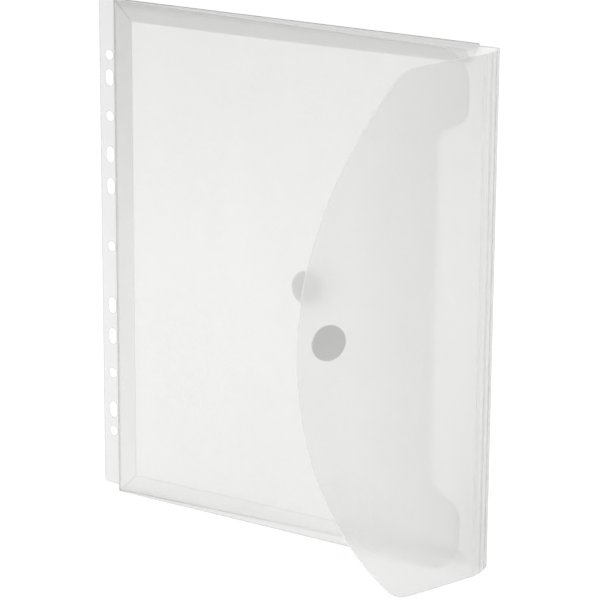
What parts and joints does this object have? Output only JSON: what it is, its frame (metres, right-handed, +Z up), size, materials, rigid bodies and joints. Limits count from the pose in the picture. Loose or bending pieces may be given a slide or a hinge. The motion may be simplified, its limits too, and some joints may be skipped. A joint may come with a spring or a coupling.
{
  "type": "filing wallet",
  "caption": "Frosted plastic A4 pocket with bellows sides, a punched filing strip and a curved flap held by a hook-and-loop dot.",
  "frame": {"origin": "bottom centre of the bounding box with the pocket and the flap open as at rest", "axes": "+Z up along the hinge creases, +X from the filing strip to the flap's spine, front facing -Y"},
  "size_m": [0.2682, 0.1296, 0.314],
  "materials": {
    "film": "satin",
    "fastener_pile": "matte",
    "adhesive": "satin"
  },
  "bodies": {
    "back": {"back_panel": "film", "left_gusset_rear_leaf": "film", "top_gusset_rear_leaf": "film", "bottom_gusset_rear_leaf": "film"},
    "front": {"front_panel": "film", "left_gusset_front_leaf": "film", "top_gusset_front_leaf": "film", "bottom_gusset_front_leaf": "film", "loop_dot": "fastener_pile", "loop_dot_adhesive": "adhesive"},
    "strip": {"punched_strip": "film"},
    "spine_1": {"spine_strip_1": "film"},
    "spine_2": {"spine_strip_2": "film"},
    "spine_3": {"spine_strip_3": "film"},
    "flap": {"flap": "film", "hook_dot": "fastener_pile", "hook_dot_adhesive": "adhesive"}
  },
  "joints": [
    {"name": "front_panel_crease", "type": "hinge", "parent": "back", "child": "front", "pos_m": [-0.12191, 0.06136, 0], "axis": [0, 0, -1], "range_deg": [-3.75, 0], "deforming": ["top_gusset_rear_leaf", "top_gusset_front_leaf", "bottom_gusset_rear_leaf", "bottom_gusset_front_leaf"]},
    {"name": "strip_crease", "type": "hinge", "parent": "back", "child": "strip", "pos_m": [-0.12191, 0.06226, 0], "axis": [0, 0, 1], "range_deg": [-79, 96]},
    {"name": "spine_crease_1", "type": "hinge", "parent": "back", "child": "spine_1", "pos_m": [0.13309, 0.06226, 0], "axis": [0, 0, 1], "range_deg": [0, 82]},
    {"name": "spine_crease_2", "type": "hinge", "parent": "spine_1", "child": "spine_2", "pos_m": [0.13396, 0.05612, 0], "axis": [0, 0, 1], "range_deg": [0, 8]},
    {"name": "spine_crease_3", "type": "hinge", "parent": "spine_2", "child": "spine_3", "pos_m": [0.13396, 0.04992, 0], "axis": [0, 0, 1], "range_deg": [0, 9]},
    {"name": "flap_crease", "type": "hinge", "parent": "spine_3", "child": "flap", "pos_m": [0.13299, 0.0438, 0], "axis": [0, 0, 1], "range_deg": [-63.6, 115]}
  ]
}
